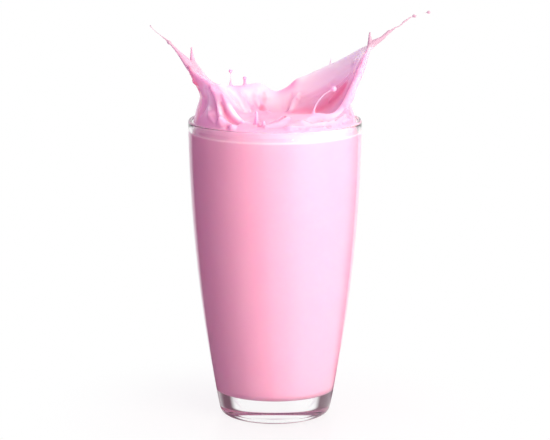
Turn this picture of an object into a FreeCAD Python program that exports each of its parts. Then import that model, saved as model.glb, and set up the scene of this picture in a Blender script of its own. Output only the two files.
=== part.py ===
import FreeCAD, Part
import math
import os
import Sketcher
from FreeCAD import Vector

# A tall clear tumbler of strawberry milk, with the splash that stands out of its mouth.
# Millimetres, +Z up, origin at the centre of the flat foot. Azimuths turn from +X towards +Y,
# and the front of the splash is towards -Y.

doc = FreeCAD.newDocument("StrawberryMilk")
sheet = doc.addObject("Spreadsheet::Sheet", "Sizes")


# ---------------------------------------------------------------- sizes

GLASS_SIZES = [
    ("glass_height", 138.0, "foot to rim"),
    ("rim_radius", 39.8, "outside of the wall at the rim"),
    ("foot_radius", 25.0, "outside of the wall at the foot, before the corner is rounded"),
    ("wall_arc_radius", 711.0, "the one long curve of the wall, inside and out"),
    ("foot_rounding", 4.0, "corner between foot and wall"),
    ("rim_wall", 1.8, "wall thickness at the rim"),
    ("rim_rounding", 0.8, "both edges of the rim"),
    ("floor_radius", 24.6, "inside of the wall where it meets the floor"),
    ("floor_height", 10.4, "clear glass under the milk"),
    ("floor_rounding", 3.5, "corner between floor and wall"),
]

MILK_SIZES = [
    ("fill_drop", 4.4, "rim down to where the milk meets the wall"),
    ("wall_gap", 0.25, "splash foot to the glass"),
    ("root_depth", 3.0, "how far the splash reaches down into the milk"),
    ("shoulder_drop", 0.9, "rim down to where the milk stops following the wall"),
    ("shoulder_inset", 0.55, "splash shoulder to the glass"),
    ("edge_wall", 2.6, "thickness of the sheets at the crest"),
    ("crater_depth", 1.6, "rim down to the bottom of the crater"),
    ("centre_radius", 4.0, "flat spot in the middle of the crater"),
]

# The crest of the splash, station by station around the glass: azimuth in degrees, rise above
# the rim, reach beyond the inside of the wall, then the rise and reach of the waist below the
# crest, and the thickness of the sheet where it joins the milk.
CREST_STATIONS = [
    ("wing_tip", 3.0, 34.0, 5.4, 8.0, -4.6, 6.0),
    ("wing_shoulder", 38.0, 24.0, -1.2, 7.5, -4.6, 6.0),
    ("wing_low", 65.0, 16.4, -3.8, 6.0, -5.0, 6.0),
    ("notch", 91.0, 8.0, -4.4, 3.8, -4.6, 6.0),
    ("hump", 102.0, 12.6, -4.8, 5.0, -4.8, 7.0),
    ("back", 118.0, 11.4, -3.6, 5.0, -4.8, 8.0),
    ("back_left", 140.0, 13.2, -2.6, 6.0, -4.8, 9.0),
    ("horn_back", 157.0, 20.2, -1.2, 8.0, -4.6, 9.0),
    ("horn_tip", 169.0, 27.0, 0.9, 11.0, -4.6, 9.0),
    ("horn_front", 182.0, 24.4, 1.2, 11.0, -4.4, 9.0),
    ("front_left", 204.0, 19.6, -5.4, 9.0, -4.8, 11.0),
    ("rib", 221.0, 14.4, -8.0, 7.0, -5.4, 11.0),
    ("rib_foot", 240.0, 3.6, -9.0, 2.4, -6.0, 9.0),
    ("lip_left", 258.0, 0.6, -12.4, 1.8, -7.0, 7.0),
    ("lip", 284.0, 4.2, -20.0, 3.8, -9.0, 5.0),
    ("lip_right", 308.0, 4.4, -15.6, 4.0, -8.0, 5.0),
    ("wing_foot", 330.0, 8.0, -6.8, 4.6, -5.8, 6.0),
    ("wing_edge", 347.0, 18.6, -0.9, 7.0, -4.6, 6.0),
]
STATION_COLUMNS = ("azimuth", "rise", "reach", "waist_rise", "waist_reach", "root_wall")

# Rows of control points between the waist and the crest, as shares of the way up.
OUTSIDE_SHARES = (0.4, 0.8)
INSIDE_SHARES = (0.7, 0.35)
# The row that caps the crest stands out by this share of the sheet's half thickness.
CREST_CAP = 1.3
# A cubic spline passes this share of the way from its neighbours to a control point.
SPLINE_PULL = 2 / 3
# Where the flare between shoulder and waist lies, as shares across and up.
FLARE_ACROSS = 0.45
FLARE_UP = 0.55
# The crater: how far up its brim lies, how much narrower its bottom is, the least step inwards.
BRIM_UP = 0.12
BOTTOM_SHARE = 0.66
STEP_IN = 0.5

# Threads of milk drawn out of the crest: the azimuth of the root, the heading, how deep the root
# sits below the crest, the scale of the route, and the radius of the bead at the end.
THREAD_STATIONS = [
    ("wing_thread", 4.0, 3.0, 3.0, 1.0, 0.9),
    ("wing_spike", 4.0, 90.0, 2.0, 1.0, 0.6),
    ("horn_thread", 177.0, 181.0, 3.0, 1.0, 0.55),
    ("horn_spike", 167.0, 180.0, 2.6, 1.0, 0.6),
    ("stalk_left", 126.5, 90.0, 1.4, 1.0, 1.0),
    ("stalk_right", 114.5, 90.0, 1.4, 1.0, 1.0),
    ("arc_thread", 314.0, 4.0, 1.6, 1.0, 1.35),
]
THREAD_COLUMNS = ("azimuth", "heading", "root_depth", "scale", "bead")

# Each step of a route: distance out along the heading, distance up, radius of the thread.
THREAD_ROUTES = {
    "wing_thread": [(-0.8, 0, 0.9), (1.6, 3.6, 1.6), (5.8, 6.4, 1.1), (11.3, 10.8, 0.75),
                    (15.6, 13.6, 0.55), (20.4, 16.0, 0.3), (26.9, 17.8, 0.3)],
    "wing_spike": [(0, 0, 1.5), (0, 3.6, 1.0), (0, 7.6, 0.5)],
    "horn_thread": [(-0.6, -1.0, 0.9), (1.0, 3.4, 1.9), (4.4, 7.4, 1.1), (9.2, 12.6, 0.55),
                    (13.0, 15.8, 0.35), (17.6, 20.2, 0.5)],
    "horn_spike": [(0, 0, 1.9), (0.4, 4.0, 0.9), (0.6, 7.8, 0.4)],
    "stalk_left": [(0, 0, 1.3), (0, 2.6, 0.6), (0, 8.2, 0.45)],
    "stalk_right": [(0, 0, 1.3), (0, 2.2, 0.75), (0, 4.6, 0.75)],
    "arc_thread": [(0, 0, 1.2), (0.5, 3.2, 0.7), (2.0, 7.0, 0.5), (4.8, 10.4, 0.45),
                   (9.6, 13.4, 0.45)],
}

# Beads strung along a thread: the thread, the step that the bead sits on, its radius.
STRUNG_BEADS = [
    ("wing_thread_bead", "wing_thread", 5, 0.85),
    ("horn_thread_bead", "horn_thread", 3, 1.05),
]


def fill_sheet():
    """Write every size into the sheet, each with an alias of its own."""
    rows = list(GLASS_SIZES) + list(MILK_SIZES)
    for station in CREST_STATIONS:
        for column, value in zip(STATION_COLUMNS, station[1:]):
            rows.append((f"{station[0]}_{column}", value, "splash crest station"))
    for thread in THREAD_STATIONS:
        for column, value in zip(THREAD_COLUMNS, thread[1:]):
            rows.append((f"{thread[0]}_{column}", value, "thread of milk"))
    for name, _, _, radius in STRUNG_BEADS:
        rows.append((f"{name}_radius", radius, "bead on a thread"))
    for number, (alias, value, meaning) in enumerate(rows, start=1):
        sheet.set(f"A{number}", meaning)
        sheet.set(f"B{number}", str(value))
        sheet.setAlias(f"B{number}", alias)
    doc.recompute()


fill_sheet()


def size(alias):
    return float(sheet.get(alias))


# ---------------------------------------------------------------- turned sub-parts

def origin_plane(body, role):
    for feature in body.Origin.OriginFeatures:
        if feature.Role == role:
            return feature
    raise RuntimeError(f"{body.Name} has no {role}")


class Profile:
    """A closed outline in the XZ plane, each corner and each arc bound to the sheet."""

    def __init__(self, body, name):
        self.sketch = body.newObject("Sketcher::SketchObject", name)
        self.sketch.AttachmentSupport = [(origin_plane(body, "XZ_Plane"), "")]
        self.sketch.MapMode = "FlatFace"
        self.corners = []

    def corner(self, radius, height, arc=None):
        """Add a corner from two expressions; arc names the radius of the edge that leaves it."""
        self.corners.append((radius, height, arc))
        return self

    def close(self):
        count = len(self.corners)
        places = [Vector(evaluate(r), evaluate(z), 0) for r, z, _ in self.corners]
        for number, (_, _, arc) in enumerate(self.corners):
            start, end = places[number], places[(number + 1) % count]
            if arc is None:
                self.sketch.addGeometry(Part.LineSegment(start, end))
            else:
                self.sketch.addGeometry(bowed_arc(start, end, size(arc)))
        for number, (radius, height, arc) in enumerate(self.corners):
            self.join(number, (number - 1) % count)
            self.bind("DistanceX", number, radius, places[number].x)
            self.bind("DistanceY", number, height, places[number].y)
            if arc is not None:
                index = self.sketch.addConstraint(Sketcher.Constraint("Radius", number, size(arc)))
                self.sketch.setExpression(f"Constraints[{index}]", f"Sizes.{arc}")
        return self.sketch

    def start_of(self, number):
        """Which end of an edge is its start: an arc runs anticlockwise, so it may be the second."""
        return 2 if self.corners[number][2] and self.rises(number) is False else 1

    def rises(self, number):
        here, there = self.corners[number], self.corners[(number + 1) % len(self.corners)]
        return evaluate(there[1]) > evaluate(here[1])

    def join(self, number, before):
        end_before = 3 - self.start_of(before)
        self.sketch.addConstraint(
            Sketcher.Constraint("Coincident", number, self.start_of(number), before, end_before))

    def bind(self, kind, number, expression, value):
        point = self.start_of(number)
        if expression == "0":
            axis = -2 if kind == "DistanceX" else -1
            self.sketch.addConstraint(Sketcher.Constraint("PointOnObject", number, point, axis))
            return
        index = self.sketch.addConstraint(Sketcher.Constraint(kind, -1, 1, number, point, value))
        self.sketch.setExpression(f"Constraints[{index}]", expression)


def evaluate(expression):
    """The value of a sum or difference of sheet sizes, such as Sizes.rim_radius."""
    total, sign = 0.0, 1.0
    for word in expression.split():
        if word in "+-":
            sign = 1.0 if word == "+" else -1.0
        elif word.startswith("Sizes."):
            total += sign * size(word[len("Sizes."):])
        else:
            total += sign * float(word)
    return total


def bowed_arc(start, end, radius):
    """The arc between two points that bows away from the axis."""
    low, high = sorted((start, end), key=lambda point: point.y)
    chord = high - low
    across = Vector(-chord.y, chord.x, 0).normalize()
    centre = (low + high) * 0.5 + across * math.sqrt(radius ** 2 - (chord.Length / 2) ** 2)
    first = math.atan2(low.y - centre.y, low.x - centre.x)
    last = math.atan2(high.y - centre.y, high.x - centre.x)
    return Part.ArcOfCircle(Part.Circle(centre, Vector(0, 0, 1), radius), first, last)


def revolve(body, sketch, name):
    turned = body.newObject("PartDesign::Revolution", name)
    turned.Profile = sketch
    turned.ReferenceAxis = (sketch, ["V_Axis"])
    turned.Angle = 360
    doc.recompute()
    return turned


def ring_edge(shape, radius, height):
    """Name of the round edge at this radius and height."""
    for number, edge in enumerate(shape.Edges, start=1):
        point = edge.Vertexes[0].Point
        if abs(math.hypot(point.x, point.y) - radius) < 0.01 and abs(point.z - height) < 0.01:
            if abs(edge.BoundBox.ZLength) < 0.01:
                return f"Edge{number}"
    raise RuntimeError(f"no edge at radius {radius}, height {height}")


def round_ring(body, base, name, rings, alias):
    """Fillet the round edges of the last feature with one sheet radius."""
    fillet = body.newObject("PartDesign::Fillet", name)
    fillet.Base = (base, [ring_edge(base.Shape, evaluate(r), evaluate(z)) for r, z in rings])
    fillet.Radius = size(alias)
    fillet.setExpression("Radius", f"Sizes.{alias}")
    doc.recompute()
    return fillet


def make_glass():
    body = doc.addObject("PartDesign::Body", "Glass")
    profile = Profile(body, "GlassProfile")
    profile.corner("0", "0")
    profile.corner("Sizes.foot_radius", "0", "wall_arc_radius")
    profile.corner("Sizes.rim_radius", "Sizes.glass_height")
    profile.corner("Sizes.rim_radius - Sizes.rim_wall", "Sizes.glass_height", "wall_arc_radius")
    profile.corner("Sizes.floor_radius", "Sizes.floor_height")
    profile.corner("0", "Sizes.floor_height")
    turned = revolve(body, profile.close(), "GlassTurned")
    foot = round_ring(body, turned, "FootRound", [("Sizes.foot_radius", "0")], "foot_rounding")
    floor = round_ring(body, foot, "FloorRound", [("Sizes.floor_radius", "Sizes.floor_height")],
                       "floor_rounding")
    rim = [("Sizes.rim_radius", "Sizes.glass_height"),
           ("Sizes.rim_radius - Sizes.rim_wall", "Sizes.glass_height")]
    round_ring(body, floor, "RimRound", rim, "rim_rounding")
    return body


def make_fill():
    """The milk inside the glass: the whole hollow, then everything above the milk cut away."""
    body = doc.addObject("PartDesign::Body", "MilkFill")
    profile = Profile(body, "FillProfile")
    profile.corner("0", "Sizes.floor_height")
    profile.corner("Sizes.floor_radius", "Sizes.floor_height", "wall_arc_radius")
    profile.corner("Sizes.rim_radius - Sizes.rim_wall", "Sizes.glass_height")
    profile.corner("0", "Sizes.glass_height")
    turned = revolve(body, profile.close(), "FillTurned")
    floor = round_ring(body, turned, "FillRound", [("Sizes.floor_radius", "Sizes.floor_height")],
                       "floor_rounding")
    above = Profile(body, "AboveMilk")
    above.corner("0", "Sizes.glass_height - Sizes.fill_drop")
    above.corner("Sizes.rim_radius", "Sizes.glass_height - Sizes.fill_drop")
    above.corner("Sizes.rim_radius", "Sizes.glass_height + 1")
    above.corner("0", "Sizes.glass_height + 1")
    groove = body.newObject("PartDesign::Groove", "LevelCut")
    groove.Profile = above.close()
    groove.ReferenceAxis = (groove.Profile[0], ["V_Axis"])
    groove.Angle = 360
    doc.recompute()
    return body


# ---------------------------------------------------------------- splash

def periodic_curve(azimuths, values):
    """A smooth closed curve through the stations that never overshoots them."""
    count = len(azimuths)
    gaps = [(azimuths[(i + 1) % count] - azimuths[i]) % 360 for i in range(count)]
    slopes = [(values[(i + 1) % count] - values[i]) / gaps[i] for i in range(count)]
    tangents = []
    for i in range(count):
        before, after = slopes[i - 1], slopes[i]
        level = before * after <= 0
        tangents.append(0.0 if level else 2 * before * after / (before + after))

    def value(azimuth):
        for i in range(count):
            along = (azimuth - azimuths[i]) % 360
            if along < gaps[i]:
                break
        share = along / gaps[i]
        start, end = values[i], values[(i + 1) % count]
        rise = 3 * share ** 2 - 2 * share ** 3
        bend = share * (1 - share) * gaps[i]
        lean = (1 - share) * tangents[i] - share * tangents[(i + 1) % count]
        return start + (end - start) * rise + bend * lean

    return value


def station_curve(column):
    names = [station[0] for station in CREST_STATIONS]
    azimuths = [size(f"{name}_azimuth") for name in names]
    values = [size(f"{name}_{column}") for name in names]
    return periodic_curve(azimuths, values)


class Crown:
    """The splash as a closed net of control points: one section per azimuth, outside to inside."""

    sections = 72

    def __init__(self):
        self.rim = size("glass_height")
        self.level = self.rim - size("fill_drop")
        self.inside = size("rim_radius") - size("rim_wall")
        self.curves = {column: station_curve(column) for column in STATION_COLUMNS[1:]}

    def crest(self, azimuth):
        """Radius and height of the crest."""
        reach, rise = self.curves["reach"](azimuth), self.curves["rise"](azimuth)
        return self.inside + reach, self.rim + rise

    def waist(self, azimuth):
        """Radius and height of the outside where the sheet rises out of the milk."""
        reach, rise = self.curves["waist_reach"](azimuth), self.curves["waist_rise"](azimuth)
        return self.inside + reach, self.rim + rise

    def section(self, azimuth):
        """Control points, as radius and height, from the root over the crest to the crater."""
        waist, crest = self.waist(azimuth), self.crest(azimuth)
        half = size("edge_wall") / 2
        along = unit(crest[0] - waist[0], crest[1] - waist[1])
        across = (along[1], -along[0])
        base = offset(crest, along, -half * CREST_CAP * SPLINE_PULL)
        outer = offset(base, across, half)
        inner = offset(base, across, -half)
        points = self.root_rows(waist)
        points.append(waist)
        points.extend(between(waist, outer, share) for share in OUTSIDE_SHARES)
        points.append(outer)
        points.append(offset(base, along, half * CREST_CAP))
        points.append(inner)
        points.extend(self.inside_rows(azimuth, waist, outer, inner))
        return points

    def root_rows(self, waist):
        """From inside the milk up along the glass, then the flare towards the waist."""
        foot = self.inside - size("wall_gap")
        flare = (blend(foot, waist[0], FLARE_ACROSS), blend(self.rim, waist[1], FLARE_UP))
        return [(foot, self.level - size("root_depth")),
                (foot, self.level - size("root_depth") / 2),
                (foot, self.level),
                (self.inside - size("shoulder_inset"), self.rim - size("shoulder_drop")),
                flare]

    def inside_rows(self, azimuth, waist, outer, inner):
        """From the crest down the inside of the sheet to the flat spot of the crater."""
        floor = self.rim - size("crater_depth")
        root, edge = self.curves["root_wall"](azimuth), size("edge_wall")
        centre = size("centre_radius")
        rows = []
        radius = inner[0]
        for share in INSIDE_SHARES:
            wall = blend(root, edge, share)
            radius = min(blend(waist[0], outer[0], share) - wall, radius - STEP_IN)
            rows.append((radius, blend(floor, inner[1], share)))
        brim = max(min(radius - STEP_IN, waist[0] - root, inner[0] - edge), centre * 2)
        rows.append((brim, blend(floor, inner[1], BRIM_UP)))
        rows.append((blend(centre, brim, BOTTOM_SHARE), floor))
        rows.append((blend(centre, brim, BOTTOM_SHARE / 2), floor))
        rows.append((centre, floor))
        return rows

    def surface(self):
        step = 360.0 / self.sections
        net = []
        for number in range(self.sections):
            turn = math.radians(number * step)
            section = self.section(number * step)
            net.append([Vector(r * math.cos(turn), r * math.sin(turn), z) for r, z in section])
        spans = len(net[0]) - 3
        surface = Part.BSplineSurface()
        surface.buildFromPolesMultsKnots(
            net,
            [1] * (self.sections + 1), [4] + [1] * (spans - 1) + [4],
            list(range(self.sections + 1)), list(range(spans + 1)),
            True, False, 3, 3)
        return surface

    def solid(self):
        """Close the surface with a flat bottom and the flat spot of the crater."""
        skin = self.surface().toShape()
        faces = [skin]
        for edge in skin.Edges:
            if edge.isClosed() and edge.BoundBox.ZLength < 0.001:
                faces.append(Part.Face(Part.Wire([edge])))
        shell = Part.makeShell(faces)
        shell.sewShape()
        solid = Part.Solid(shell)
        if solid.Volume < 0:
            solid.reverse()
        return solid


def blend(first, last, share):
    return first + (last - first) * share


def between(first, last, share):
    return blend(first[0], last[0], share), blend(first[1], last[1], share)


def unit(x, y):
    length = math.hypot(x, y)
    return x / length, y / length


def offset(point, direction, distance):
    return point[0] + direction[0] * distance, point[1] + direction[1] * distance


class Thread:
    """A thread of milk with a bead at its end, and any beads strung along it."""

    def __init__(self, name, crown):
        self.name = name
        turn = math.radians(size(f"{name}_azimuth"))
        radius, height = crown.crest(size(f"{name}_azimuth"))
        self.root = Vector(radius * math.cos(turn), radius * math.sin(turn),
                           height - size(f"{name}_root_depth"))
        heading = math.radians(size(f"{name}_heading"))
        self.out = Vector(math.cos(heading), math.sin(heading), 0)
        self.scale = size(f"{name}_scale")

    def point(self, step):
        out, up, _ = THREAD_ROUTES[self.name][step]
        return self.root + self.out * (out * self.scale) + Vector(0, 0, up * self.scale)

    def direction(self, step):
        last = len(THREAD_ROUTES[self.name]) - 1
        ahead, behind = self.point(min(step + 1, last)), self.point(max(step - 1, 0))
        return (ahead - behind).normalize()

    def solid(self):
        rings = []
        for step, (_, _, radius) in enumerate(THREAD_ROUTES[self.name]):
            circle = Part.makeCircle(radius, self.point(step), self.direction(step))
            rings.append(Part.Wire([circle]))
        return Part.makeLoft(rings, True, False)


def add_feature(name, shape):
    feature = doc.addObject("Part::Feature", name)
    feature.Shape = shape
    return feature


def add_bead(name, place, alias):
    bead = doc.addObject("Part::Sphere", name)
    bead.Radius = size(alias)
    bead.setExpression("Radius", f"Sizes.{alias}")
    bead.Placement = FreeCAD.Placement(place, FreeCAD.Rotation())
    return bead


def make_milk():
    crown = Crown()
    pieces = [make_fill(), add_feature("SplashCrown", crown.solid())]
    threads = {row[0]: Thread(row[0], crown) for row in THREAD_STATIONS}
    for name, thread in threads.items():
        pieces.append(add_feature(f"Splash_{name}", thread.solid()))
        end = len(THREAD_ROUTES[name]) - 1
        pieces.append(add_bead(f"Bead_{name}", thread.point(end), f"{name}_bead"))
    for name, thread_name, step, _ in STRUNG_BEADS:
        pieces.append(add_bead(f"Bead_{name}", threads[thread_name].point(step), f"{name}_radius"))
    milk = doc.addObject("Part::MultiFuse", "Milk")
    milk.Shapes = pieces
    milk.Label = "milk"
    doc.recompute()
    return milk


# ---------------------------------------------------------------- checks and files

def check_document():
    for item in doc.Objects:
        bad = {"Invalid", "Error"} & set(item.State)
        if bad:
            raise RuntimeError(f"{item.Name}: {sorted(bad)}")
        shape = getattr(item, "Shape", None)
        if shape is not None and item.isDerivedFrom("Part::Feature"):
            if shape.isNull() or not shape.isValid():
                raise RuntimeError(f"{item.Name}: its shape is not valid")


def write_node(item):
    solids = item.Shape.Solids
    if len(solids) != 1:
        raise RuntimeError(f"{item.Label} is {len(solids)} solids, not one")
    solids[0].exportStep(os.path.join("parts", f"{item.Label}.step"))
    print(item.Label, round(item.Shape.Volume / 1000, 1), "cm3", len(item.Shape.Faces), "faces")


glass = make_glass()
glass.Label = "glass"
milk = make_milk()
check_document()
os.makedirs("parts", exist_ok=True)
for node in (glass, milk):
    write_node(node)
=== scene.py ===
import math

import bpy
import numpy as np
from bpy.props import FloatProperty, FloatVectorProperty, PointerProperty
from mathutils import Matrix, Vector


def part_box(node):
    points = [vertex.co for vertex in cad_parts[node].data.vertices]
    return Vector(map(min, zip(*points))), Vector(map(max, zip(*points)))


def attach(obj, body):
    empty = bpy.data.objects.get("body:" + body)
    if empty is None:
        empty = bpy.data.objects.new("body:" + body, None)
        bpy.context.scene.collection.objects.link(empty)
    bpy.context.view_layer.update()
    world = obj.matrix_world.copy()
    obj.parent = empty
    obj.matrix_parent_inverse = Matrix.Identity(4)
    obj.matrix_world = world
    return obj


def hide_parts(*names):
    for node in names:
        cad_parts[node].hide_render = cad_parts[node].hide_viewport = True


bl_info = {
    "name": "Strawberry Milk Tumbler",
    "version": (1, 0, 0),
    "blender": (4, 5, 0),
    "location": "View3D > Sidebar > Milk",
    "description": "A clear tumbler of strawberry milk with a splash standing out of it",
    "category": "Object",
}

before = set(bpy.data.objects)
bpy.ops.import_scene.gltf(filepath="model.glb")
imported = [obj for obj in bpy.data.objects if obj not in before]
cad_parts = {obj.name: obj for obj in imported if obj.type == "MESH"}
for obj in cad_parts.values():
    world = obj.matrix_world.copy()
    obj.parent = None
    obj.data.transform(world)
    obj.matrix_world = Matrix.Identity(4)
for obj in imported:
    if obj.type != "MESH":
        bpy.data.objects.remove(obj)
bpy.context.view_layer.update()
GLASS_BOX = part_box("glass")
RIM_RADIUS = GLASS_BOX[1][0]
RIM_HEIGHT = GLASS_BOX[1][2]
MM = 0.001


# ---------------------------------------------------------------- settings

class TumblerSettings(bpy.types.PropertyGroup):
    """Sizes and tint of the clear glass."""
    foot_radius: FloatProperty(
        name="Foot radius",
        description="Outside of the wall at the foot, before its corner is rounded",
        default=25.0 * MM, unit="LENGTH")
    wall_arc: FloatProperty(
        name="Wall arc", description="Radius of the long curve of the wall",
        default=711.0 * MM, unit="LENGTH")
    foot_rounding: FloatProperty(
        name="Foot rounding", description="Radius of the corner between foot and wall",
        default=4.0 * MM, unit="LENGTH")
    rim_wall: FloatProperty(
        name="Rim wall", description="Thickness of the wall at the rim",
        default=1.8 * MM, unit="LENGTH")
    rim_rounding: FloatProperty(
        name="Rim rounding", description="Radius of both edges of the rim",
        default=0.8 * MM, unit="LENGTH")
    floor_radius: FloatProperty(
        name="Floor radius", description="Inside of the wall where it meets the floor",
        default=24.6 * MM, unit="LENGTH")
    floor_height: FloatProperty(
        name="Floor height", description="Thickness of the clear base",
        default=11.6 * MM, unit="LENGTH")
    floor_rounding: FloatProperty(
        name="Floor rounding", description="Radius of the corner between floor and wall",
        default=3.5 * MM, unit="LENGTH")
    foot_land: FloatProperty(
        name="Foot land", description="Width of the ring that the glass stands on",
        default=3.0 * MM, unit="LENGTH")
    foot_hollow: FloatProperty(
        name="Foot hollow", description="How far the middle of the underside is hollowed",
        default=2.2 * MM, unit="LENGTH")
    tint: FloatVectorProperty(
        name="Tint", description="Colour of the glass", subtype="COLOR", size=3,
        default=(1.0, 0.995, 1.0), min=0.0, max=1.0)


class MilkSettings(bpy.types.PropertyGroup):
    """Level, edge and colours of the milk, with its painted light and shade."""
    fill_drop: FloatProperty(
        name="Fill drop", description="Rim down to where the milk meets the wall",
        default=4.4 * MM, unit="LENGTH")
    wall_reach: FloatProperty(
        name="Wall reach", description="How far the milk reaches into the glass wall",
        default=0.2 * MM, unit="LENGTH")
    level_rounding: FloatProperty(
        name="Level rounding", description="Radius of the milk's edge where it meets the wall",
        default=0.9 * MM, unit="LENGTH")
    fusing_voxel: FloatProperty(
        name="Fusing voxel", description="Grain at which sheets, threads and beads are fused",
        default=0.44 * MM, unit="LENGTH")
    milk_colour: FloatVectorProperty(
        name="Milk", description="Colour of the milk", subtype="COLOR", size=3,
        default=(0.86, 0.465, 0.645), min=0.0, max=1.0)
    # Painted shade: a deeper pink laid into folds, creases and hollows, where shade falls.
    painted_shade_colour: FloatVectorProperty(
        name="Deep milk", description="Colour in folds and hollows", subtype="COLOR", size=3,
        default=(0.98, 0.25, 0.38), min=0.0, max=1.0)
    # Painted highlight: a paler colour laid on lit ridges and faces of the splash, and along the
    # milk's edge at the wall.
    painted_highlight_colour: FloatVectorProperty(
        name="Pale milk", description="Colour of lit ridges and of the milk's edge",
        subtype="COLOR", size=3, default=(0.95, 0.82, 0.86), min=0.0, max=1.0)
    # Painted light: near white laid where the splash thins out, standing in for light shining
    # through the thin sheet.
    painted_backlight_colour: FloatVectorProperty(
        name="Thin milk", description="Colour where the splash thins out",
        subtype="COLOR", size=3, default=(0.96, 0.96, 0.93), min=0.0, max=1.0)
    # Painted shade: a dull grey lilac laid on the threads, drops and horn high up.
    painted_thread_shade_colour: FloatVectorProperty(
        name="Threads", description="Colour of the thin threads and drops",
        subtype="COLOR", size=3, default=(0.60, 0.40, 0.50), min=0.0, max=1.0)


class StageSettings(bpy.types.PropertyGroup):
    """Where the camera stands and how it looks."""
    eye_distance: FloatProperty(
        name="Eye distance", description="Camera in front of the glass's axis",
        default=1.25, unit="LENGTH")
    eye_height: FloatProperty(
        name="Eye height", description="Camera above the surface",
        default=0.335, unit="LENGTH")
    eye_pitch: FloatProperty(
        name="Eye pitch", description="How far the camera looks down",
        default=math.radians(11.04), subtype="ANGLE")
    lens: FloatProperty(
        name="Lens", description="Focal length on a 36 mm wide sensor, in millimetres",
        default=180.8, unit="CAMERA")


# ---------------------------------------------------------------- modelling by hand

ROUND_SEGMENTS = 192
# Edges that turn more sharply than this stay sharp where the splash joins the turned milk.
SMOOTH_ANGLE = math.radians(50)


def deselect_all():
    """Leave edit mode and select nothing."""
    if bpy.context.mode != "OBJECT":
        bpy.ops.object.mode_set(mode="OBJECT")
    bpy.ops.object.select_all(action="DESELECT")


def make_active(piece):
    """Select this piece alone."""
    deselect_all()
    piece.select_set(True)
    bpy.context.view_layer.objects.active = piece


def apply_modifier(piece, kind, **settings):
    """Add one modifier, set it and apply it."""
    make_active(piece)
    modifier = piece.modifiers.new(kind.title(), kind)
    for key, value in settings.items():
        setattr(modifier, key, value)
    bpy.ops.object.modifier_apply(modifier=modifier.name)


def turned_piece(name, outline):
    """Extrude a filled ring along an outline of (radius, height); both ends stay flat faces."""
    deselect_all()
    radius, height = outline[0]
    bpy.ops.mesh.primitive_circle_add(
        vertices=ROUND_SEGMENTS, radius=radius, location=(0, 0, height))
    piece = bpy.context.active_object
    bpy.ops.object.transform_apply(location=True, rotation=False, scale=False)
    piece.name = name
    bpy.ops.object.mode_set(mode="EDIT")
    bpy.ops.mesh.select_all(action="SELECT")
    bpy.ops.mesh.edge_face_add()
    bpy.ops.mesh.select_all(action="SELECT")
    for next_radius, next_height in outline[1:]:
        bpy.ops.mesh.extrude_region_move(
            TRANSFORM_OT_translate={"value": (0, 0, next_height - height)})
        share = next_radius / radius
        bpy.ops.transform.resize(value=(share, share, 1))
        radius, height = next_radius, next_height
    bpy.ops.mesh.select_all(action="SELECT")
    bpy.ops.mesh.normals_make_consistent(inside=False)
    bpy.ops.object.mode_set(mode="OBJECT")
    bpy.ops.object.shade_smooth()
    return piece


# ---------------------------------------------------------------- outlines

# How many steps the arcs of an outline have.
WALL_STEPS = 44
CORNER_STEPS = 12
LIP_STEPS = 8
BRIM_STEPS = 5
# A wall's own points stop this many times a rounding's reach, or an edge's radius, before it.
ROUNDING_CLEARANCE = 1.05
BRIM_CLEARANCE = 1.2
# The last ring before a flat end stands at this share of the radius.
FLAT_SHARE = 0.9
# The rings of the hollow under the foot, as shares of its radius.
HOLLOW_SHARES = (0.1, 0.3, 0.5, 0.65, 0.8, 0.9, 1.0)


def wall_curve(low, high, radius):
    """Points of the arc from low to high, both (radius, height), that bows away from the axis."""
    chord = Vector(high) - Vector(low)
    middle = (Vector(low) + Vector(high)) / 2
    across = Vector((-chord.y, chord.x)).normalized()
    centre = middle + across * math.sqrt(radius ** 2 - (chord.length / 2) ** 2)
    first = math.atan2(low[1] - centre.y, low[0] - centre.x)
    last = math.atan2(high[1] - centre.y, high[0] - centre.x)
    angles = [first + (last - first) * step / WALL_STEPS for step in range(WALL_STEPS + 1)]
    return [(centre.x + radius * math.cos(angle), centre.y + radius * math.sin(angle))
            for angle in angles]


def rounded_corner(before, corner, after, radius, steps):
    """The arc that rounds a corner between two nearly straight runs, and how far it reaches."""
    here = Vector(corner)
    back, ahead = (Vector(before) - here).normalized(), (Vector(after) - here).normalized()
    opening = back.angle(ahead)
    reach = radius / math.tan(opening / 2)
    inward = (back + ahead).normalized()
    centre = here + inward * (radius / math.sin(opening / 2))
    start, end = here + back * reach - centre, here + ahead * reach - centre
    sweep = math.copysign(math.pi - opening, start.x * end.y - start.y * end.x)
    points = []
    for step in range(steps + 1):
        angle = sweep * step / steps
        x = start.x * math.cos(angle) - start.y * math.sin(angle)
        y = start.x * math.sin(angle) + start.y * math.cos(angle)
        points.append((centre.x + x, centre.y + y))
    return points, reach


def clear_of(points, corner, reach):
    """The points that lie further from the corner than the rounding reaches."""
    limit = reach * ROUNDING_CLEARANCE
    return [point for point in points if (Vector(point) - Vector(corner)).length > limit]


def inner_wall(glass, grow=0.0):
    """The inside of the glass from floor to rim, or a line that far inside its wall."""
    low = (glass.floor_radius + grow, glass.floor_height - grow)
    high = (RIM_RADIUS - glass.rim_wall + grow, RIM_HEIGHT)
    return wall_curve(low, high, glass.wall_arc)


def radius_at(wall, height):
    """How far from the axis a wall stands at this height."""
    for low, high in zip(wall, wall[1:]):
        if low[1] <= height <= high[1]:
            share = (height - low[1]) / (high[1] - low[1])
            return low[0] + (high[0] - low[0]) * share
    raise RuntimeError("the level is outside the glass")


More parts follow.
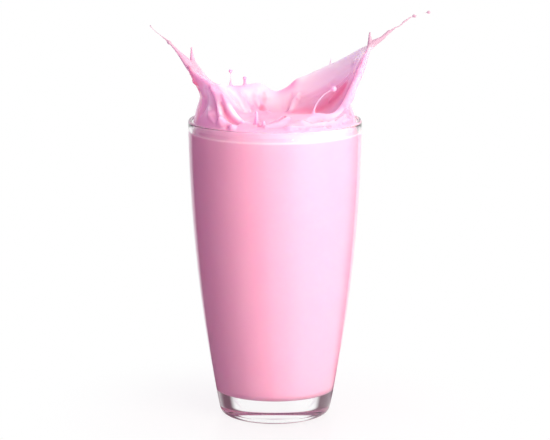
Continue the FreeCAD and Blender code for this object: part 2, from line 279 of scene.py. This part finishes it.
def glass_outline(glass):
    """From the middle of the foot round the outside, over the rim and down to the floor."""
    outer = wall_curve((glass.foot_radius, 0.0), (RIM_RADIUS, RIM_HEIGHT), glass.wall_arc)
    inner = inner_wall(glass)
    foot, foot_reach = rounded_corner(
        (0, 0), outer[0], outer[2], glass.foot_rounding, CORNER_STEPS)
    lip_out, lip_reach = rounded_corner(
        outer[-2], outer[-1], inner[-1], glass.rim_rounding, LIP_STEPS)
    lip_in, _ = rounded_corner(
        outer[-1], inner[-1], inner[-2], glass.rim_rounding, LIP_STEPS)
    floor, floor_reach = rounded_corner(
        inner[2], inner[0], (0, glass.floor_height), glass.floor_rounding, CORNER_STEPS)
    outside = clear_of(clear_of(outer, outer[0], foot_reach), outer[-1], lip_reach)
    inside = clear_of(clear_of(inner, inner[0], floor_reach), inner[-1], lip_reach)
    hollow_edge = foot[0][0] - glass.foot_land
    hollow = [(hollow_edge * share, glass.foot_hollow * (1 - share ** 2))
              for share in HOLLOW_SHARES]
    flat_floor = (floor[-1][0] * FLAT_SHARE, glass.floor_height)
    return hollow + foot + outside + lip_out + lip_in + inside[::-1] + floor + [flat_floor]


def milk_outline(glass, milk):
    """From the middle of the floor up inside the wall, and over the rounded edge to the level."""
    level = RIM_HEIGHT - milk.fill_drop
    edge = milk.level_rounding
    inner = inner_wall(glass, milk.wall_reach)
    bottom = inner[0][1]
    floor, reach = rounded_corner(
        inner[2], inner[0], (0, bottom), glass.floor_rounding, CORNER_STEPS)
    wall = [point for point in clear_of(inner, inner[0], reach)
            if point[1] < level - BRIM_CLEARANCE * edge]
    top = radius_at(inner, level)
    brim, _ = rounded_corner(wall[-1], (top, level), (0, level), edge, BRIM_STEPS)
    flat_floor, flat_level = (floor[-1][0] * FLAT_SHARE, bottom), (top * FLAT_SHARE, level)
    return [flat_floor] + floor[::-1] + wall + brim + [flat_level]


# ---------------------------------------------------------------- shader maths

class Value:
    """A socket that adds Math nodes when it is used in an expression."""

    def __init__(self, shader, socket):
        self.shader, self.socket = shader, socket

    def math(self, operation, *values):
        return self.shader.add(
            "ShaderNodeMath", {"operation": operation}, dict(enumerate(values)))

    def __add__(self, other):
        return self.math("ADD", self, other)

    __radd__ = __add__

    def __mul__(self, other):
        return self.math("MULTIPLY", self, other)

    __rmul__ = __mul__

    def __sub__(self, other):
        return self.math("SUBTRACT", self, other)

    def __rsub__(self, other):
        return self.math("SUBTRACT", other, self)

    def __abs__(self):
        return self.math("ABSOLUTE", self)

    def max(self, other):
        return self.math("MAXIMUM", self, other)

    def min(self, other):
        return self.math("MINIMUM", self, other)


class Shader:
    """The emptied node tree of a material or a world, and a short way to add nodes to it."""

    def __init__(self, owner):
        owner.use_nodes = True
        self.owner, self.tree = owner, owner.node_tree
        self.tree.nodes.clear()

    def add(self, kind, settings=None, inputs=None, output=0):
        """Add a node, set it up, then give its inputs their values or links."""
        node = self.tree.nodes.new(kind)
        for key, value in (settings or {}).items():
            setattr(node, key, value)
        for key, value in (inputs or {}).items():
            if isinstance(value, Value):
                self.tree.links.new(value.socket, node.inputs[key])
            else:
                node.inputs[key].default_value = value
        return Value(self, node.outputs[output])

    def finish(self, surface, end="ShaderNodeOutputMaterial"):
        """Link the surface to the output and hand back the material or world."""
        output = self.tree.nodes.new(end)
        self.tree.links.new(surface.socket, output.inputs["Surface"])
        return self.owner


def opaque(colour):
    """A colour with full alpha, as a colour socket takes it."""
    return (*colour, 1.0)


def fade(value, start, end, low=0.0, high=1.0):
    """Smoothly from low to high while the value goes from start to end."""
    return value.shader.add("ShaderNodeMapRange", {"interpolation_type": "SMOOTHSTEP"}, {
        "Value": value, "From Min": start, "From Max": end, "To Min": low, "To Max": high})


def mix_colours(factor, first, second, how="MIX"):
    """The first colour where the factor is 0, blended with the second where it is 1."""
    return factor.shader.add("ShaderNodeMix", {"data_type": "RGBA", "blend_type": how}, {
        0: factor, 6: first, 7: second}, output=2)


def vector_maths(operation, vector, other=None, output="Vector"):
    """One Vector Math node on a vector, or on two."""
    vectors = {0: vector} if other is None else {0: vector, 1: other}
    return vector.shader.add("ShaderNodeVectorMath", {"operation": operation}, vectors, output)


def part_along(axis, vector):
    """How far a vector goes along X, Y or Z."""
    return vector.shader.add("ShaderNodeSeparateXYZ", inputs={0: vector}, output=axis)


# ---------------------------------------------------------------- materials

def glass_material(glass):
    """Clear glass that lets a little less than all light through to its shadow."""
    shader = Shader(bpy.data.materials.new("Clear Glass"))
    body = shader.add("ShaderNodeBsdfPrincipled", inputs={
        "Base Color": opaque(glass.tint), "Roughness": 0.0, "IOR": 1.5,
        "Transmission Weight": 1.0})
    shadow = shader.add("ShaderNodeLightPath", output="Is Shadow Ray")
    open_air = shader.add("ShaderNodeBsdfTransparent", inputs={
        "Color": opaque((0.98, 0.97, 0.98))})
    return shader.finish(
        shader.add("ShaderNodeMixShader", inputs={0: shadow, 1: body, 2: open_air}))


def milk_material():
    """Glossy milk that scatters light below its surface, apart from its threads and drops."""
    shader = Shader(bpy.data.materials.new("Strawberry Milk"))
    place = shader.add("ShaderNodeTexCoord", output="Object")
    cloud = shader.add("ShaderNodeTexNoise", inputs={
        "Vector": place, "Scale": 60.0, "Detail": 3.0, "Roughness": 0.5})
    # The painted colour is the milk's own colour with painted light and shade laid on it.
    painted = shader.add("ShaderNodeAttribute", {"attribute_name": "milk_colour_light_and_shade"}, output="Color")
    colour = mix_colours(cloud * 0.6, painted, opaque((0.98, 0.90, 0.94)), how="MULTIPLY")
    surface = {"Base Color": colour, "Roughness": 0.16, "IOR": 1.35}
    body = shader.add("ShaderNodeBsdfPrincipled", {"subsurface_method": "RANDOM_WALK"}, {
        **surface, "Subsurface Weight": 1.0, "Subsurface Radius": (0.85, 0.85, 1.0),
        "Subsurface Scale": 0.0030})
    drops = shader.add("ShaderNodeBsdfPrincipled", inputs=surface)
    aloft = shader.add("ShaderNodeAttribute", {"attribute_name": "milk_aloft"}, output="Fac")
    return shader.finish(shader.add("ShaderNodeMixShader", inputs={0: aloft, 1: body, 2: drops}))


# ---------------------------------------------------------------- splash

# Strokes that shape the splash, as a modeller's brush would. Each has the points that it runs
# through in millimetres, the width of its brush each side, and how far it lifts the surface.
STROKES = (
    # the folds that run down the near wall, left of its lip
    (((-28.5, -16, 155), (-26.5, -18.5, 152), (-25, -20, 148.5), (-24.5, -21.5, 145),
      (-24, -25, 141.5)), 2.6, 1.3),
    (((-24.5, -21, 148.5), (-23, -23, 144.5), (-20.5, -25.5, 142), (-17, -28, 140.5)), 1.7, -1.4),
    (((-23.5, -20, 152.5), (-21, -23, 148), (-18.5, -25, 144.5), (-14.5, -27.5, 141)), 2.2, 1.0),
    (((-31, -13, 153.5), (-31, -12.5, 149.5), (-32, -12, 145.5), (-33.5, -12.5, 142.5)), 3.0, -0.7),
    # the lobes where those folds meet the rim
    (((-24, -25.5, 141),), 3.4, 1.5),
    (((-19, -30, 139),), 2.6, 1.8),
    (((-21.5, -28.5, 139),), 1.4, -0.9),
    (((-28.5, -19.5, 143.5),), 3.0, 0.8),
    # streaks down the far wall on the left
    (((-22, 24, 148), (-18, 23, 143.5), (-15, 21, 139)), 1.6, -0.8),
    (((-16.5, 27, 146.5), (-13.5, 25.5, 142.5), (-11.5, 21.5, 138)), 2.0, 0.9),
    # the dimple in the far wall and the swellings round it
    (((-6, 26, 139.5),), 2.2, -1.7),
    (((1, 28, 143), (2, 25, 138.5)), 1.8, -0.8),
    (((-10.5, 25.5, 141),), 2.2, 0.7),
    (((-3.5, 24.5, 137.5),), 2.6, 0.8),
    (((-5, 29.5, 144),), 2.4, 0.7),
    (((-9, 28.5, 145),), 2.4, 0.6),
    # the crease along the near lip and the ridge in front of it
    (((-7, -30, 140), (-2, -27, 140.5), (2, -26, 141.5), (4, -21, 142.5)), 2.2, -1.5),
    (((-4, -32.5, 139.5), (2, -30.5, 140.5), (6, -25, 142.5)), 3.2, 1.1),
    # the fold between the hollow and the wing
    (((5, 26, 138.5), (6.5, 28.5, 142), (8, 30, 145)), 2.6, -0.5),
    (((7, 24, 137.5), (9, 27.5, 142), (11, 28, 145)), 3.0, 1.2),
    # lobes that run down the far wall
    (((-8, 32, 148), (-8.5, 29.5, 144), (-7, 26, 140)), 2.4, 0.7),
    (((-3, 31, 146.5), (-1.5, 28, 142.5)), 2.4, 0.6),
    # ripples on the near wall
    (((24, -25, 140.5), (28, -20, 142), (33, -12, 142.5)), 1.7, 0.7),
    (((14, -31, 139.5), (20, -28, 140), (26, -24, 140)), 1.6, -0.6),
    (((30, -19, 139.5), (34, -13, 140), (36, -8, 140)), 1.8, 0.6),
    (((4, -34, 139), (10, -32.5, 139.5), (16, -30, 139.5)), 1.6, 0.6),
    (((-30, -16, 146), (-29, -19, 142), (-27, -23, 140)), 1.9, 0.7),
    (((-33, -9, 149), (-33.5, -10.5, 143.5)), 1.7, 0.5),
    # swellings of the near wall on the right
    (((11, -29, 141),), 3.2, 0.8),
    (((16.5, -26, 141.5),), 2.6, -0.7),
    (((21, -22.5, 142),), 3.0, 0.9),
    (((30.5, -16.5, 141),), 3.4, 1.0),
    (((24, -25.5, 139.5),), 2.6, -0.8),
    (((15.5, -32, 138.5),), 3.0, 0.7),
    (((35, -8, 141),), 3.0, -0.7),
    (((6.5, -34, 139),), 3.0, 0.7),
    (((33, -8, 144.5),), 2.6, 0.7),
    (((27, -21.5, 141.5),), 1.5, 0.7),
    (((29, -21.5, 139.2),), 1.3, -0.6),
    (((18, -29, 140.6),), 1.4, 0.6),
    (((10.5, -33, 138.8),), 1.4, -0.5),
    (((34, -13, 142),), 1.4, 0.6),
    (((22, -27.5, 138.6),), 1.3, 0.5),
    # the wing's sheet is thin, with a thick near edge and folds down its inside
    (((14, 29, 148), (25, 22, 154), (34, 13, 160)), 10.0, -0.8),
    (((10, 29, 143), (20, 24, 148.5), (30, 16, 156), (38, 8, 165)), 2.4, 0.5),
    (((14, 27, 141), (24, 19, 147), (33, 10, 156)), 1.9, -0.4),
    (((41.5, -2, 168), (39.5, -5, 162.5), (37.5, -7.5, 157.5), (35, -10.5, 152),
      (32, -13, 148)), 2.6, 1.1),
    (((35.5, 10.5, 161.5), (31, 15.5, 157), (25.5, 19.5, 151.5)), 3.5, -0.9),
    (((32.5, 9.5, 154), (29, 12.5, 149), (25.5, 15, 144.5)), 3.0, 0.6),
    # drops that run on the wing
    (((38, -6, 161),), 1.6, 0.5),
    (((11, 27, 143.5),), 1.2, 0.7),
)

# The same brush worked all the way round a thread: it slims or swells it.
SWELLS = (
    (((-39.5, 0, 165), (-43.5, -1.5, 169.5), (-48, -2, 174)), 4.0, -0.5),
    (((-45.2, -1.5, 171.4),), 1.7, 0.55),
    (((46, 4, 176), (50, 4, 178.5), (56, 4, 182.5)), 4.0, -0.5),
    (((51.5, 4, 178.8),), 1.8, 0.4),
)

# Pushes: the points, the reach, and the way that everything there is moved, in millimetres.
PUSHES = (
    (((10.5, 33, 150),), 5.0, (0, 0, 1.0)),
    (((21.5, 30, 157),), 3.2, (0, 0, -0.7)),
    (((17, 31, 154),), 4.0, (0, 0, -0.5)),
    (((18, -24, 142.5), (25, -19, 144), (31, -14, 147), (35, -10, 151)), 5.5, (0, 0, -2.4)),
    (((26, -22, 142.5),), 3.0, (0, -0.3, 1.0)),
    (((13, -29, 141),), 3.0, (0, -0.3, 0.8)),
    (((-1, 30, 146),), 4.0, (0, 0, 0.8)),
    (((-36, -6, 156.5),), 2.6, (-1.0, -0.3, -0.3)),
    (((-34.5, -7, 153),), 2.2, (0.6, 0.2, 0)),
    (((-47.5, -2, 173.5),), 2.6, (0.5, 0, 0.5)),
    (((-53, -2, 178.5),), 3.0, (-0.4, 0, -0.5)),
    (((50, 4, 178.5),), 3.4, (-0.3, 0, 0.7)),
    (((56, 4, 182.5),), 3.4, (0.4, 0, -0.7)),
    (((61.5, 4, 185.5),), 3.0, (-0.3, 0, 0.5)),
)

# Small stalks that are fused on: foot and tip in millimetres, and the radius at each.
STALKS = (
    ((-8.0, -28.5, 138.0), (-8.4, -28.0, 145.6), 1.3, 0.75),
    ((-5.0, -31.0, 138.5), (-5.2, -30.8, 141.6), 1.2, 0.8),
    ((26.0, 27.5, 157.5), (26.3, 27.5, 162.0), 1.4, 0.5),
)

# The fusing leaves only scraps of the wing thread's thinnest stretch. They are cleared between
# these two places along X, so that the last drop flies free.
THREAD_GAP = (64.95, 67.5)
# How far the splash is kept below the level, in millimetres, so that the two overlap.
ROOT_DEPTH = 3.0
# The round end of a stalk, as a share of the stalk's radius there.
BEAD_SHARE = 1.15
MERGE_DISTANCE = 1e-6
# Keeps a single dab, which has no length, from dividing by zero.
TINY = 1e-12
# A stroke's width at both ends, as a share of its width in the middle.
END_WIDTH = 0.55
# Brushes work on what faces the front and a little upwards, and fade towards its edges.
FRONT = np.array((0.0, -0.98, 0.2))
FRONT_EDGE = 4.0


def add_stalk(foot, tip, foot_radius, tip_radius):
    """A tapered stalk and the round end on its tip, as two objects."""
    foot, tip = Vector(foot) * MM, Vector(tip) * MM
    deselect_all()
    bpy.ops.mesh.primitive_cone_add(
        vertices=24, radius1=foot_radius * MM, radius2=tip_radius * MM, depth=(tip - foot).length,
        location=(foot + tip) / 2, rotation=(tip - foot).to_track_quat("Z", "Y").to_euler())
    stalk = bpy.context.active_object
    bpy.ops.mesh.primitive_uv_sphere_add(
        segments=24, ring_count=16, radius=tip_radius * BEAD_SHARE * MM, location=tip)
    return stalk, bpy.context.active_object


def stroke_weight(places, points, reach):
    """1 for places on the stroke, falling smoothly to 0 at its reach, which narrows at both ends."""
    points, reach = np.array(points, dtype=float) * MM, reach * MM
    ends = points[1:] if len(points) > 1 else points
    lengths = [float(np.linalg.norm(end - start)) for start, end in zip(points, ends)]
    whole = max(sum(lengths), TINY)
    weight = np.zeros(len(places))
    before = 0.0
    for start, end, length in zip(points, ends, lengths):
        run = end - start
        along = np.clip((places - start) @ run / max(length ** 2, TINY), 0.0, 1.0)
        gap = np.linalg.norm(places - start - along[:, None] * run, axis=1)
        passed = (before + along * length) / whole
        width = reach
        if len(points) > 1:
            width = reach * (END_WIDTH + (1 - END_WIDTH) * np.sin(math.pi * passed))
        weight = np.maximum(weight, np.clip(1.0 - (gap / width) ** 2, 0.0, 1.0) ** 2)
        before += length
    return weight


def surface_of(piece):
    """The place and the normal of every vertex, one row each."""
    vertices = piece.data.vertices
    places, normals = np.empty(len(vertices) * 3), np.empty(len(vertices) * 3)
    vertices.foreach_get("co", places)
    vertices.foreach_get("normal", normals)
    return places.reshape(-1, 3), normals.reshape(-1, 3)


def seen_in_front(normals, margin=0.0):
    """1 where the surface faces the front, fading to 0 just before it turns away."""
    return np.clip(normals @ FRONT * FRONT_EDGE + margin, 0.0, 1.0)


def sculpt(piece):
    """Brush the front of the splash, swell and slim its threads, and push its edges."""
    places, normals = surface_of(piece)
    lift = np.zeros(len(places))
    for points, reach, rise in STROKES:
        lift += stroke_weight(places, points, reach) * rise * MM
    moved = normals * (lift * seen_in_front(normals))[:, None]
    for points, reach, rise in SWELLS:
        moved += normals * (stroke_weight(places, points, reach) * rise * MM)[:, None]
    for points, reach, push in PUSHES:
        moved += stroke_weight(places, points, reach)[:, None] * np.array(push) * MM
    piece.data.vertices.foreach_set("co", (places + moved).ravel())
    piece.data.update()


def clear_between(piece, low, high):
    """Delete all that lies between two places along X, both in millimetres."""
    make_active(piece)
    bpy.ops.object.mode_set(mode="EDIT")
    bpy.ops.mesh.select_all(action="DESELECT")
    bpy.ops.object.mode_set(mode="OBJECT")
    for point in piece.data.vertices:
        point.select = low * MM < point.co.x < high * MM
    bpy.ops.object.mode_set(mode="EDIT")
    bpy.ops.mesh.delete(type="VERT")
    bpy.ops.object.mode_set(mode="OBJECT")


def splash_start(height):
    """The splash as the solid has it, cut off at this height."""
    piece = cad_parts["milk"].copy()
    piece.data = piece.data.copy()
    bpy.context.collection.objects.link(piece)
    piece.name = "splash"
    piece.parent = None
    piece.hide_render = False
    piece.hide_set(False)
    make_active(piece)
    bpy.ops.object.mode_set(mode="EDIT")
    bpy.ops.mesh.select_all(action="SELECT")
    bpy.ops.mesh.remove_doubles(threshold=MERGE_DISTANCE)
    bpy.ops.mesh.select_all(action="SELECT")
    bpy.ops.mesh.bisect(
        plane_co=(0, 0, height), plane_no=(0, 0, 1), use_fill=True, clear_inner=True)
    bpy.ops.object.mode_set(mode="OBJECT")
    return piece


def add_splash(milk):
    """The whole splash, with a root that reaches down into the milk in the glass."""
    splash = splash_start(RIM_HEIGHT - milk.fill_drop - ROOT_DEPTH * MM)
    stalks = [part for stalk in STALKS for part in add_stalk(*stalk)]
    make_active(splash)
    for part in stalks:
        part.select_set(True)
    bpy.ops.object.join()
    apply_modifier(splash, "REMESH", mode="VOXEL", voxel_size=milk.fusing_voxel)
    apply_modifier(splash, "SMOOTH", factor=0.5, iterations=2)
    sculpt(splash)
    apply_modifier(splash, "SMOOTH", factor=0.5, iterations=3)
    clear_between(splash, *THREAD_GAP)
    return splash


# ---------------------------------------------------------------- paint

# Brush marks of colour, laid one over another: the paint, the points in millimetres, the width
# of the brush each side, and how strongly it covers. They are painted light and shade: painted
# shade in folds, creases and hollows, painted highlight on lit ridges and faces, painted light
# where the wing thins out, painted shade on the horn, and milk colour laid back over some.
PAINT = (
    ("painted_highlight_colour", ((10, 28, 143), (22, 24, 150), (33, 14, 157), (40, 2, 163)), 13.0, 0.55),
    ("painted_backlight_colour", ((14, 30, 152), (26, 24, 160), (33, 17, 164), (41, 6, 171)), 12.0, 1.0),
    ("painted_backlight_colour", ((34, 14, 165), (40, 5, 170), (43, 2, 174)), 9.0, 0.9),
    ("painted_thread_shade_colour", ((-33, 7, 160), (-39, 0, 168), (-46, -2, 173)), 9.0, 0.65),
    ("painted_shade_colour", ((20, 18, 139), (26, 14, 143), (33, 9, 151)), 9.0, 0.6),
    ("painted_shade_colour", ((8, 24, 137), (15, 21, 138), (22, 16, 139)), 5.0, 0.5),
    ("painted_highlight_colour", ((-34, -6, 155), (-31, -13, 150), (-30, -16, 143)), 8.0, 0.25),
    ("painted_shade_colour", ((-38, -3, 159), (-36, -6, 153), (-35.5, -8, 145), (-35, -10, 140)), 4.5, 0.5),
    ("painted_highlight_colour", ((-31, -11, 156), (-29.5, -15, 150), (-30, -16, 143)), 4.5, 0.75),
    ("painted_shade_colour", ((-39, -2, 162), (-35.5, -7.5, 155)), 4.5, 0.6),
    ("painted_highlight_colour", ((-14, 29, 146), (-6, 31, 147), (1, 29, 143), (8, 29, 147)), 8.0, 0.8),
    ("painted_highlight_colour", ((-11, 26, 141), (-12, 28, 146)), 3.0, 0.5),
    ("painted_highlight_colour", ((12, 30, 148), (20, 26, 152), (27, 21, 156)), 8.0, 0.9),
    ("painted_shade_colour", ((-6, 26, 139.5),), 2.6, 0.6),
    ("painted_shade_colour", ((-5, 30, 146), (-4.5, 27, 141)), 2.2, 0.35),
    ("painted_shade_colour", ((0, 28, 143), (1, 25, 139)), 2.0, 0.3),
    ("painted_highlight_colour", ((7, 24, 137.5), (9, 27.5, 142), (11, 28, 145)), 2.4, 0.8),
    ("painted_highlight_colour", ((-9.5, 29, 145), (-7.5, 26, 140.5)), 1.6, 0.6),
    ("painted_shade_colour", ((-24.5, -21, 148.5), (-23, -23, 144.5), (-20.5, -25.5, 142),
                     (-17, -28, 140.5)), 1.9, 0.4),
    ("painted_shade_colour", ((-7, -30, 140), (-2, -27, 140.5), (2, -26, 141.5), (4, -21, 142.5)), 2.3, 0.6),
    ("painted_highlight_colour", ((-25, 23, 152), (-19, 24, 145), (-14, 21.5, 140)), 7.0, 0.75),
    ("milk_colour", ((-22, 24, 149), (-18, 23, 144), (-14.5, 21, 139)), 1.8, 0.5),
    ("painted_highlight_colour", ((-28, -16.5, 154), (-25, -20, 148), (-24, -25, 141.5)), 2.4, 0.6),
    ("painted_highlight_colour", ((-21, -23, 148), (-16, -27, 142)), 3.2, 0.9),
    ("painted_highlight_colour", ((41.5, -2, 168), (37.5, -7.5, 157.5), (32, -13, 148)), 3.0, 0.15),
    ("painted_highlight_colour", ((8, -32, 140), (20, -25, 141), (31, -15, 142)), 7.0, 0.3),
    ("painted_highlight_colour", ((-4, -32.5, 139.5), (2, -30.5, 140.5), (6, -25, 142.5)), 2.6, 0.35),
)

# Above the first height the milk takes the painted shade of its threads, and above the second
# one on the horn's side it stops scattering light below its surface, as the threads do.
THREADS_FROM = 168.0
HORN_FROM = 157.0
HORN_SIDE = -30.0
FADE_HEIGHT = 5.0
# The painted highlight along the milk's edge at the wall: where it starts, out from the axis, and
# its cover.
EDGE_HIGHLIGHT_FROM = 36.0
EDGE_HIGHLIGHT_COVER = 0.4
# Paint reaches a little further round than the sculpting does.
PAINT_MARGIN = 0.2


def lay_on(colours, cover, paint):
    """Cover the colours with paint, fully where the cover is 1."""
    colours[:, :3] += cover[:, None] * (np.array(paint) - colours[:, :3])


def above(places, height):
    """0 up to a height in millimetres, rising to 1 a little above it."""
    return np.clip((places[:, 2] / MM - height) / FADE_HEIGHT, 0.0, 1.0)


def paint_milk(piece, milk):
    """Colour the surface with brush marks of painted light and shade, a painted highlight along its
    edge, and painted shade on the threads by their height.
    """
    places, normals = surface_of(piece)
    seen = seen_in_front(normals, PAINT_MARGIN)
    colours = np.ones((len(places), 4))
    colours[:, :3] = milk.milk_colour
    # Lay the brush marks of painted shade, painted highlight and painted light.
    for paint, points, reach, cover in PAINT:
        lay_on(colours, stroke_weight(places, points, reach) * seen * cover, getattr(milk, paint))
    # A painted highlight along the milk's edge, where it meets the wall.
    middle = RIM_HEIGHT - milk.fill_drop - 0.5 * milk.level_rounding
    edge = np.clip(1.0 - np.abs(places[:, 2] - middle) / milk.level_rounding, 0.0, 1.0)
    edge *= EDGE_HIGHLIGHT_COVER * (np.hypot(places[:, 0], places[:, 1]) > EDGE_HIGHLIGHT_FROM * MM)
    lay_on(colours, edge, milk.painted_highlight_colour)
    # Painted shade on the threads, by their height.
    aloft = above(places, THREADS_FROM)
    lay_on(colours, aloft, milk.painted_thread_shade_colour)
    horn = above(places, HORN_FROM) * (places[:, 0] < HORN_SIDE * MM)
    layer = piece.data.attributes.new("milk_colour_light_and_shade", "FLOAT_COLOR", "POINT")
    layer.data.foreach_set("color", colours.ravel())
    layer = piece.data.attributes.new("milk_aloft", "FLOAT", "POINT")
    layer.data.foreach_set("value", np.maximum(aloft, horn))


# ---------------------------------------------------------------- stage

WHITE = opaque((1.0, 1.0, 1.0))
DIM_STUDIO = opaque((0.15, 0.08, 0.11))
SENSOR_WIDTH = 36.0
FLOOR_SIZE = 1.2
# The soft card stands to the right and a little in front, and reaches further up than across.
CARD_SIDE = (0.94, -0.34, 0.0)
CARD_STRETCH = (1.0, 1.0, 0.6)


def add_camera(stage):
    """A camera with a long lens that looks a little down at the glass."""
    data = bpy.data.cameras.new("Camera")
    data.sensor_width = SENSOR_WIDTH
    data.lens = stage.lens
    camera = bpy.data.objects.new("Camera", data)
    camera.location = (0, -stage.eye_distance, stage.eye_height)
    camera.rotation_euler = (math.pi / 2 - stage.eye_pitch, 0, 0)
    bpy.context.collection.objects.link(camera)
    bpy.context.scene.camera = camera


def ray_kinds(shader):
    """Camera rays, rays seen through glass, and rays mirrored in it, each 1 or 0."""
    camera, through, glossy, scattered = (
        shader.add("ShaderNodeLightPath", output=fact)
        for fact in ("Is Camera Ray", "Is Transmission Ray", "Is Glossy Ray", "Diffuse Depth"))
    unscattered = 1 - scattered.min(1.0)
    bent = through * unscattered
    mirrored = glossy * unscattered * (1 - bent)
    return camera, bent, mirrored


def soft_card(direction):
    """How bright a wide soft lamp on the right is, in this direction from the glass."""
    lowered = vector_maths("MULTIPLY", direction, CARD_STRETCH)
    level = vector_maths("NORMALIZE", lowered)
    toward = vector_maths("DOT_PRODUCT", level, CARD_SIDE, output="Value")
    return fade(toward, start=0.50, end=0.90)


def backdrop(direction):
    """1 where this direction from the glass meets the white backdrop behind it, 0 elsewhere."""
    return fade(part_along("Y", vector_maths("NORMALIZE", direction)), start=0.76, end=0.86)


def studio_colour(light):
    """The dim studio where light is 0, a white card where it is 1."""
    return mix_colours(light, DIM_STUDIO, WHITE)


def floor_material():
    """White for the camera and through the glass, with the glass's shadow near it.

    Rays that the glass mirrors meet the same studio on the floor as in the world, so that the
    floor's edge doesn't show in the glass.
    """
    shader = Shader(bpy.data.materials.new("Pale Floor"))
    paint = shader.add("ShaderNodeBsdfPrincipled", inputs={
        "Base Color": opaque((0.78, 0.74, 0.77)), "Roughness": 0.28, "Specular IOR Level": 0.35})
    glow = shader.add("ShaderNodeEmission", inputs={"Color": WHITE, "Strength": 1.0})
    camera, bent, mirrored = ray_kinds(shader)
    place = shader.add("ShaderNodeTexCoord", output="Object")
    distance = vector_maths("LENGTH", place, output="Value")
    clear_of_shadow = fade(distance, start=0.03, end=0.12, low=0.80, high=1.0)
    # Seen through the glass, the floor glows with painted light: white behind the glass, and
    # brighter towards the soft card on the right.
    behind_glass = fade(abs(part_along("X", place)), start=0.09, end=0.22, low=1.0, high=0.12)
    card = soft_card(place)
    white = camera.max(bent * behind_glass) * clear_of_shadow + bent * (card * 0.8 + 0.2)
    direct = shader.add("ShaderNodeMixShader", inputs={0: white, 1: paint, 2: glow})
    studio = shader.add("ShaderNodeEmission", inputs={
        "Color": studio_colour(card.max(backdrop(place))), "Strength": 1.0})
    return shader.finish(
        shader.add("ShaderNodeMixShader", inputs={0: mirrored, 1: direct, 2: studio}))


def add_floor():
    """A pale floor, wide enough to fill the picture below the glass."""
    deselect_all()
    bpy.ops.mesh.primitive_plane_add(size=FLOOR_SIZE, location=(0, 0, 0))
    floor = bpy.context.active_object
    floor.name = "floor"
    floor.data.materials.append(floor_material())


def add_key_lamp():
    """A tall soft lamp at the front right that the glass doesn't mirror."""
    place, target = Vector((0.72, -0.84, 0.42)), Vector((0, 0, 0.1))
    data = bpy.data.lights.new("Key", "AREA")
    data.shape = "RECTANGLE"
    data.size, data.size_y = 0.8, 1.5
    data.energy = 23.0
    data.color = (0.92, 1.0, 0.77)
    lamp = bpy.data.objects.new("Key", data)
    lamp.location = place
    lamp.visible_glossy = False
    lamp.rotation_euler = (target - place).to_track_quat("-Z", "Y").to_euler()
    bpy.context.collection.objects.link(lamp)


def add_world():
    """Lilac light with a bright back and ceiling for the milk, and the studio for the glass.

    The camera sees white. The glass sees the studio: white behind it and on the soft card, dim
    elsewhere, so that its edges show.
    """
    shader = Shader(bpy.data.worlds.new("Studio"))
    camera, bent, mirrored = ray_kinds(shader)
    direction = shader.add("ShaderNodeTexCoord", output="Generated")
    back = fade(part_along("Y", direction), start=0.6, end=0.95)
    ceiling = fade(part_along("Z", direction), start=0.6, end=0.9)
    tint = mix_colours(
        back.max(ceiling), opaque((0.46, 0.19, 0.50)), opaque((1.38, 1.32, 1.30)))
    ambient = shader.add("ShaderNodeBackground", inputs={"Color": tint, "Strength": 1.0})
    around = backdrop(direction).max(soft_card(direction))
    studio = shader.add("ShaderNodeBackground", inputs={
        "Color": studio_colour(camera.max(around)), "Strength": 1.0})
    mixed = shader.add("ShaderNodeMixShader", inputs={
        0: camera.max(bent.max(mirrored)), 1: ambient, 2: studio})
    bpy.context.scene.world = shader.finish(mixed, end="ShaderNodeOutputWorld")


# ---------------------------------------------------------------- operators

class MILK_OT_stage(bpy.types.Operator):
    """Add the floor, lamp, world and camera"""
    bl_idname = "milk.stage"
    bl_label = "Stage"

    def execute(self, context):
        add_camera(context.scene.stage_settings)
        add_floor()
        add_key_lamp()
        add_world()
        context.scene.view_settings.view_transform = "Standard"
        return {"FINISHED"}


class MILK_OT_tumbler(bpy.types.Operator):
    """Add the clear tumbler"""
    bl_idname = "milk.tumbler"
    bl_label = "Tumbler"

    def execute(self, context):
        glass = context.scene.tumbler_settings
        piece = turned_piece("tumbler", glass_outline(glass))
        piece.data.materials.append(glass_material(glass))
        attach(piece, "root")
        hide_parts("glass")
        return {"FINISHED"}


class MILK_OT_milk(bpy.types.Operator):
    """Add the milk with its splash"""
    bl_idname = "milk.milk"
    bl_label = "Milk"

    def execute(self, context):
        milk = context.scene.milk_settings
        splash = add_splash(milk)
        body = turned_piece(
            "strawberry_milk", milk_outline(context.scene.tumbler_settings, milk))
        apply_modifier(body, "BOOLEAN", operation="UNION", solver="MANIFOLD", object=splash)
        bpy.data.objects.remove(splash)
        make_active(body)
        bpy.ops.object.shade_smooth_by_angle(angle=SMOOTH_ANGLE)
        paint_milk(body, milk)
        body.data.materials.clear()
        body.data.materials.append(milk_material())
        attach(body, "root")
        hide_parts("milk")
        return {"FINISHED"}


class MILK_PT_panel(bpy.types.Panel):
    """Lists the steps in order"""
    bl_idname = "MILK_PT_panel"
    bl_label = "Strawberry Milk"
    bl_space_type = "VIEW_3D"
    bl_region_type = "UI"
    bl_category = "Milk"

    def draw(self, context):
        for operator in (MILK_OT_stage, MILK_OT_tumbler, MILK_OT_milk):
            self.layout.operator(operator.bl_idname)


SETTINGS = {
    "tumbler_settings": TumblerSettings,
    "milk_settings": MilkSettings,
    "stage_settings": StageSettings,
}
CLASSES = (*SETTINGS.values(), MILK_OT_stage, MILK_OT_tumbler, MILK_OT_milk, MILK_PT_panel)


def register():
    for item in CLASSES:
        bpy.utils.register_class(item)
    for name, group in SETTINGS.items():
        setattr(bpy.types.Scene, name, PointerProperty(type=group))


def unregister():
    for name in SETTINGS:
        delattr(bpy.types.Scene, name)
    for item in reversed(CLASSES):
        bpy.utils.unregister_class(item)


def main():
    register()
    bpy.ops.milk.stage()
    bpy.ops.milk.tumbler()
    bpy.ops.milk.milk()


if __name__ == "__main__":
    main()
